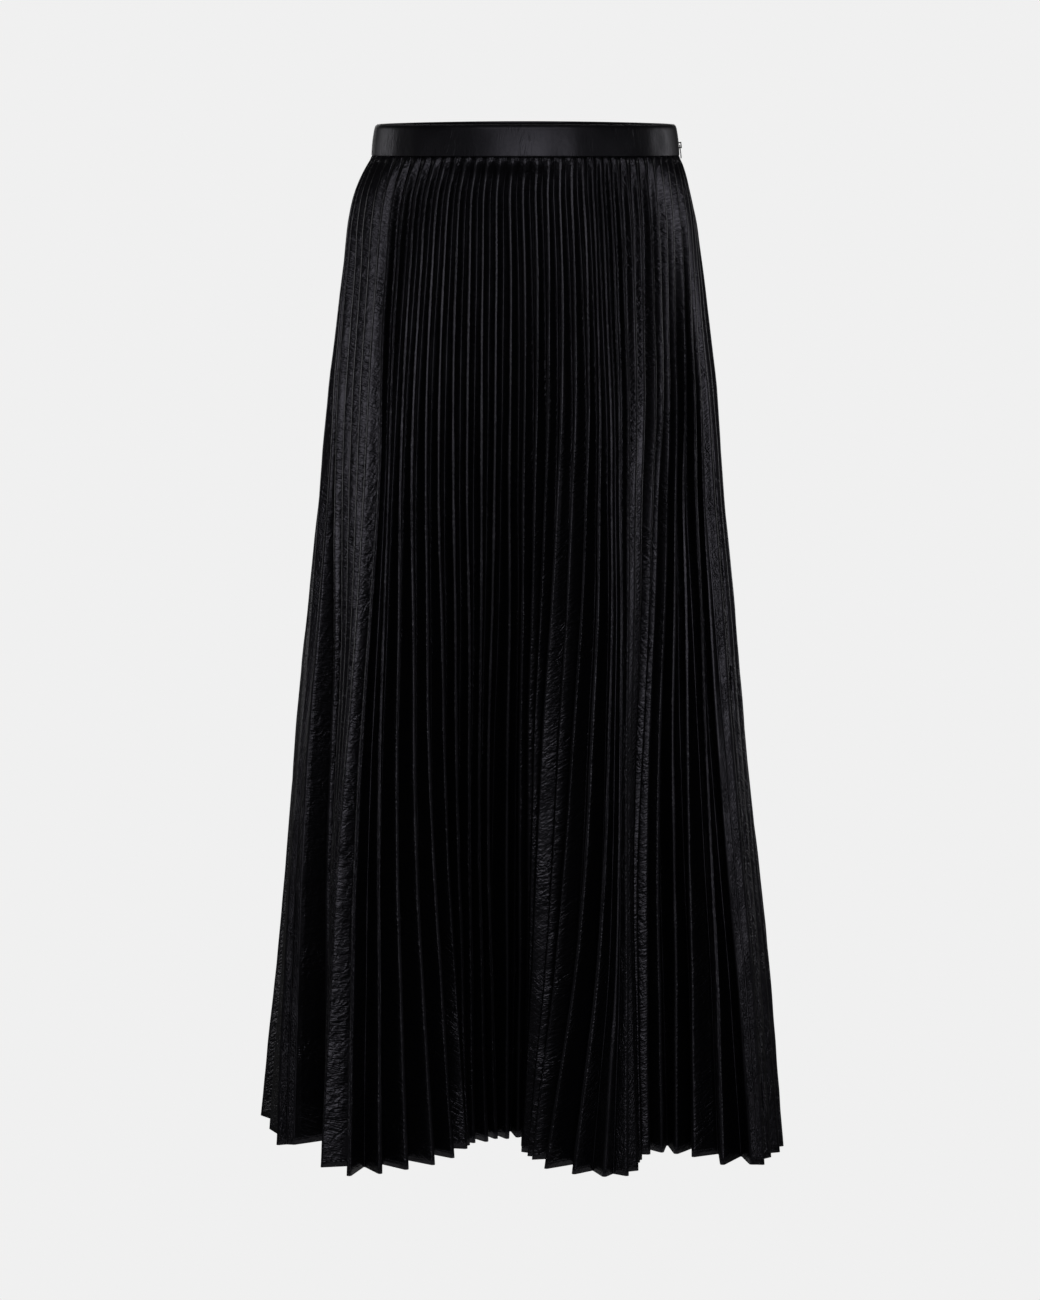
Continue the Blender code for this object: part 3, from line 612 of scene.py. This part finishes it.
# How the cloth is crinkled, in millimetres: a fine slanted crinkle, and longer creases along three slants.
# slant: degrees that they rise to the left. shift: which part of the pattern shows. sharpness: how narrow
# they are. share: how high these creases are beside the others
Grain = namedtuple("Grain", "length width slant shift sharpness share")
CRINKLE_LENGTH, CRINKLE_WIDTH, CRINKLE_SLANT = 6.5, 3.0, 38
CRINKLE_HEIGHT = 0.38
CREASE_HEIGHT = 0.22
CREASE_GRAINS = [
    Grain(14, 4.4, 40, 0.0, 6.0, 1.0),
    Grain(12, 3.8, -34, 7.0, 6.0, 1.0),
    Grain(16, 3.2, 5, 3.0, 5.0, 0.8),
]
CREASE_PATCHES = 45.0
WORN_FROM, WORN_TO = 300.0, 620.0  # drops between which the crinkle grows to its full height
HIGH_CRINKLE = 0.85  # its share of its height above that, and below it in a panel's middle and on its lobes
MIDDLE_CRINKLE, LOBE_CRINKLE = 0.9, 1.1
PANEL_MIDDLE = 17.5  # pleat number half-way between a panel's two lobes
LOBES_FROM, LOBES_TO = 6.0, 10.0  # pleats from there to where the lobes begin and are full

HEM_STITCHES = 5.0  # from the hem
STITCH_LENGTH = 2.4
THREAD = 0.5
STITCH_DEPTH = 0.2

BAND_GRAIN = Grain(16, 2.6, 84, 1.0, 6.0, 0.1)
BAND_CRINKLE, BAND_CRINKLE_HEIGHT = 3.5, 0.12
BAND_PATCHES = 30.0


def creases(tree, cloth, grain):
    """Irregular creases along one slant: 1 on a crease, falling off to 0 beside it."""
    slanted = add_node(
        tree, "Mapping", AS_TEXTURE, Vector=cloth, Rotation=(0, 0, math.radians(grain.slant)),
        Scale=(grain.length * MM, grain.width * MM, 1), Location=(grain.shift, 0, 0),
    )
    noise = add_node(tree, "TexNoise", Vector=slanted, Scale=1.0, Detail=1.5, Distortion=0.6)
    away = add_node(tree, "Math", SUBTRACT, _0=noise, _1=0.5)
    away = add_node(tree, "Math", ABSOLUTE, _0=away)
    away = add_node(tree, "Math", MULTIPLY, _0=away, _1=grain.sharpness)
    away = add_node(tree, "Math", MINIMUM, _0=away, _1=1.0)
    return add_node(tree, "Math", SUBTRACT, _0=1.0, _1=away)


def crinkle(tree, cloth):
    """Height of the crinkled cloth in millimetres: a fine slanted crinkle, and longer creases in patches."""
    patches = add_node(tree, "TexNoise", Vector=cloth, Scale=per_metre(CREASE_PATCHES), Detail=1.0)
    patchy = add_node(tree, "MapRange", Value=patches, From_Min=0.4, From_Max=0.62, To_Min=0.3)
    slanted = add_node(
        tree, "Mapping", AS_TEXTURE, Vector=cloth, Rotation=(0, 0, math.radians(CRINKLE_SLANT)),
        Scale=(CRINKLE_LENGTH * MM, CRINKLE_WIDTH * MM, 1),
    )
    fine = add_node(tree, "TexNoise", Vector=slanted, Scale=1.0, Detail=2.0, Roughness=0.5, Distortion=0.4)
    drawn = 0.0
    for grain in CREASE_GRAINS:
        crease = creases(tree, cloth, grain)
        drawn = add_node(tree, "Math", MULTIPLY_ADD, _0=crease, _1=grain.share, _2=drawn)
    patchy = add_node(tree, "Math", MULTIPLY, _0=patchy, _1=CREASE_HEIGHT)
    drawn = add_node(tree, "Math", MULTIPLY, _0=drawn, _1=patchy)
    return add_node(tree, "Math", MULTIPLY_ADD, _0=fine, _1=CRINKLE_HEIGHT, _2=drawn)


def off_the_edges(tree, number):
    """1 on the pleats' sides and little on their pressed edges, which lie 0.25 and 0.75 past a number."""
    side = add_node(tree, "Math", MULTIPLY, _0=number, _1=2.0)
    side = add_node(tree, "Math", SUBTRACT, _0=side, _1=0.5)
    edge = add_node(tree, "Math", ROUND, _0=side)
    from_edge = add_node(tree, "Math", SUBTRACT, _0=side, _1=edge)
    from_edge = add_node(tree, "Math", ABSOLUTE, _0=from_edge)
    return add_node(tree, "MapRange", Value=from_edge, From_Min=0.03, From_Max=0.16, To_Min=0.15)


def wear(tree, number, low):
    """How high the crinkle is for its place: more towards the hem, and there most on the lobes."""
    middle = add_node(tree, "Math", MODULO, _0=number, _1=float(HALF_ROUND))
    middle = add_node(tree, "Math", SUBTRACT, _0=middle, _1=PANEL_MIDDLE)
    middle = add_node(tree, "Math", ABSOLUTE, _0=middle)
    lobes = add_node(
        tree, "MapRange", Value=middle, From_Min=LOBES_FROM, From_Max=LOBES_TO,
        To_Min=MIDDLE_CRINKLE, To_Max=LOBE_CRINKLE,
    )
    worn = add_node(
        tree, "MapRange", Value=low, From_Min=-WORN_FROM * MM, From_Max=-WORN_TO * MM, To_Min=0.0
    )
    return add_node(tree, "MapRange", Value=worn, To_Min=HIGH_CRINKLE, To_Max=lobes)


def hem_stitches(tree, cloth, low):
    """1 where the hem's stitches press into the cloth, 0 elsewhere."""
    from_row = add_node(tree, "Math", ADD, _0=low, _1=(SEAM_TO_HEM - HEM_STITCHES) * MM)
    from_row = add_node(tree, "Math", ABSOLUTE, _0=from_row)
    thread = add_node(tree, "MapRange", Value=from_row, From_Max=THREAD * MM, To_Min=1.0, To_Max=0.0)
    along = add_node(tree, "SeparateXYZ", Vector=cloth)
    beat = add_node(tree, "Math", MULTIPLY, _0=along, _1=2 * math.pi * per_metre(STITCH_LENGTH))
    beat = add_node(tree, "Math", SINE, _0=beat)
    beat = add_node(tree, "MapRange", Value=beat, From_Min=-0.6, From_Max=0.2)
    return add_node(tree, "Math", MULTIPLY, _0=thread, _1=beat)


def crinkled_satin():
    """Black polyester satin, steam-pleated and lightly crinkled: near black, with a soft bluish sheen."""
    material, tree, shader = new_material(
        "crinkled_black_satin", SATIN_BLACK, SATIN_ROUGHNESS, Specular_IOR_Level=SATIN_SPECULAR,
        Specular_Tint=SHEEN,
    )
    cloth = add_node(tree, "UVMap", {"uv_map": "cloth"})
    pleats = add_node(tree, "UVMap", {"uv_map": "pleats"})
    number, low, _ = add_node(tree, "SeparateXYZ", Vector=pleats).outputs
    height = add_node(tree, "Math", MULTIPLY, _0=crinkle(tree, cloth), _1=off_the_edges(tree, number))
    height = add_node(tree, "Math", MULTIPLY, _0=height, _1=wear(tree, number, low))
    stitches = add_node(tree, "Math", MULTIPLY, _0=hem_stitches(tree, cloth, low), _1=STITCH_DEPTH)
    height = add_node(tree, "Math", SUBTRACT, _0=height, _1=stitches)
    bump = add_node(tree, "Bump", Strength=1.0, Distance=MM, Height=height)
    tree.links.new(bump.outputs["Normal"], shader.inputs["Normal"])
    return material


def pressed_satin():
    """The same satin, pressed flat over interfacing: smoother, with a few faint upright wrinkles."""
    material, tree, shader = new_material(
        "pressed_black_satin", SATIN_BLACK, PRESSED_ROUGHNESS, Specular_IOR_Level=SATIN_SPECULAR,
        Specular_Tint=SHEEN,
    )
    cloth = add_node(tree, "UVMap", {"uv_map": "cloth"})
    fine = add_node(tree, "TexNoise", Vector=cloth, Scale=per_metre(BAND_CRINKLE), Detail=2.0)
    patches = add_node(tree, "TexNoise", Vector=cloth, Scale=per_metre(BAND_PATCHES), Detail=1.0)
    patchy = add_node(tree, "MapRange", Value=patches, From_Min=0.48, From_Max=0.62)
    upright = add_node(tree, "Math", MULTIPLY, _0=creases(tree, cloth, BAND_GRAIN), _1=patchy)
    upright = add_node(tree, "Math", MULTIPLY, _0=upright, _1=BAND_GRAIN.share)
    height = add_node(tree, "Math", MULTIPLY_ADD, _0=fine, _1=BAND_CRINKLE_HEIGHT, _2=upright)
    bump = add_node(tree, "Bump", Strength=1.0, Distance=MM, Height=height)
    tree.links.new(bump.outputs["Normal"], shader.inputs["Normal"])
    return material


def enamel():
    """Black stoving enamel on die-cast zinc: a hard, smooth, slightly glossy coat."""
    material, tree, shader = new_material(
        "black_zip_enamel", "#101012", 0.28, Coat_Weight=0.4, Coat_Roughness=0.2
    )
    place = add_node(tree, "TexCoord").outputs["Object"]
    speckle = add_node(tree, "TexNoise", Vector=place, Scale=per_metre(0.6), Detail=2.0)
    bump = add_node(tree, "Bump", Strength=1.0, Distance=0.02 * MM, Height=speckle)
    tree.links.new(bump.outputs["Normal"], shader.inputs["Normal"])
    return material


# ---------------------------------------------------------------- the pieces

EDGE_SOFTNESS = {"zip_slider": 0.25, "zip_pull": 0.18}

satin = crinkled_satin()
band_satin = pressed_satin()
black_enamel = enamel()

for side, start in (("front", 0), ("back", HALF_ROUND)):
    stop = start + HALF_ROUND
    panel = sheet_mesh("pleated_panel_" + side, *panel_points(start, stop), CLOTH, satin)
    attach(panel, "skirt")
    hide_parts("skirt_" + side)

    band = sheet_mesh("waistband_" + side + "_cloth", *band_points(start, stop), BAND_WALL, band_satin)
    edge = band.modifiers.new("turned edges", "BEVEL")
    edge.width, edge.segments = BAND_FOLD * MM, 3
    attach(band, "skirt")
    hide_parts("waistband_" + side)

for node, body in (("zip_slider", "skirt"), ("zip_pull", "pull_tab")):
    metal = softened_metal(node, EDGE_SOFTNESS[node], black_enamel)
    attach(metal, body)
    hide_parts(node)

# ---------------------------------------------------------------- studio and camera

PALE = "#f0f0f0"
FLOOR_Z = -1.19
FLOOR_RADIUS = 0.5
DIM_LIGHT = 0.03  # of the pale surround, which the skirt is lit by
CAMERA_PLACE = (-0.0045, -2.9, -0.0125)
CAMERA_TILT = 8.0068  # degrees down
LENS = 97.06


def softbox(name, place, aim, width, height, watts):
    """A rectangular softbox at a place, turned to what it aims at."""
    light = bpy.data.lights.new(name, "AREA")
    light.shape = "RECTANGLE"
    light.size, light.size_y = width, height
    light.energy = watts
    lamp = bpy.data.objects.new(name, light)
    lamp.location = place
    lamp.rotation_euler = (Vector(aim) - Vector(place)).to_track_quat("-Z", "Y").to_euler()
    bpy.context.scene.collection.objects.link(lamp)


for name, along, across in (("front", -3.4, 0.22), ("back", 3.4, -0.22)):
    softbox(name + " softbox", (across, along, 0.3), (0, 0, -0.4), 1.1, 1.3, 11)
    softbox(name + " wide softbox", (across, along, 0.3), (0, 0, -0.4), 2.3, 1.3, 8)
    softbox(name + " top softbox", (0, along * 0.7, 1.9), (0, 0, 0), 2.2, 0.9, 9)
for across in (-2.7, 2.7):
    for along in (-1.9, 1.9):
        softbox("fill softbox", (across, along, 0), (0, 0, -0.5), 0.8, 1.4, 1.3)
softbox("left softbox", (-3.0, 1.2, 0.2), (0, 0, -0.4), 0.8, 1.6, 7)
softbox("right softbox", (3.0, 1.2, 0.2), (0, 0, -0.4), 0.8, 1.6, 7)

floor_mesh = bmesh.new()
bmesh.ops.create_circle(floor_mesh, cap_ends=True, segments=96, radius=FLOOR_RADIUS)
bmesh.ops.translate(floor_mesh, vec=(0, 0, FLOOR_Z), verts=floor_mesh.verts)
floor_data = bpy.data.meshes.new("pale_floor")
floor_mesh.to_mesh(floor_data)
floor_mesh.free()
floor = bpy.data.objects.new("pale_floor", floor_data)
bpy.context.scene.collection.objects.link(floor)
paint, tree, shader = new_material("matt_pale_paint", PALE, 0.9)
glow = add_node(tree, "Emission", Color=linear(PALE))
seen = add_node(tree, "LightPath").outputs["Is Camera Ray"]
mixed = add_node(tree, "MixShader", _0=seen, _1=shader, _2=glow)
tree.links.new(mixed.outputs[0], tree.nodes["Material Output"].inputs["Surface"])
floor_data.materials.append(paint)

world = bpy.data.worlds.new("pale studio")
bpy.context.scene.world = world
world.use_nodes = True
tree = world.node_tree
backdrop = tree.nodes["Background"]
backdrop.inputs["Color"].default_value = linear(PALE)
dim = add_node(tree, "Background", Color=linear(PALE), Strength=DIM_LIGHT)
seen = add_node(tree, "LightPath").outputs["Is Camera Ray"]
surround = add_node(tree, "MixShader", _0=seen, _1=dim, _2=backdrop)
tree.links.new(surround.outputs[0], tree.nodes["World Output"].inputs["Surface"])

camera = bpy.data.cameras.new("camera")
camera.sensor_fit = "VERTICAL"
camera.sensor_height = 36
camera.lens = LENS
camera.clip_end = 50
eye = bpy.data.objects.new("camera", camera)
eye.location = CAMERA_PLACE
eye.rotation_euler = (math.radians(90 - CAMERA_TILT), 0, 0)
bpy.context.scene.collection.objects.link(eye)
bpy.context.scene.camera = eye
bpy.context.scene.view_settings.view_transform = "Standard"
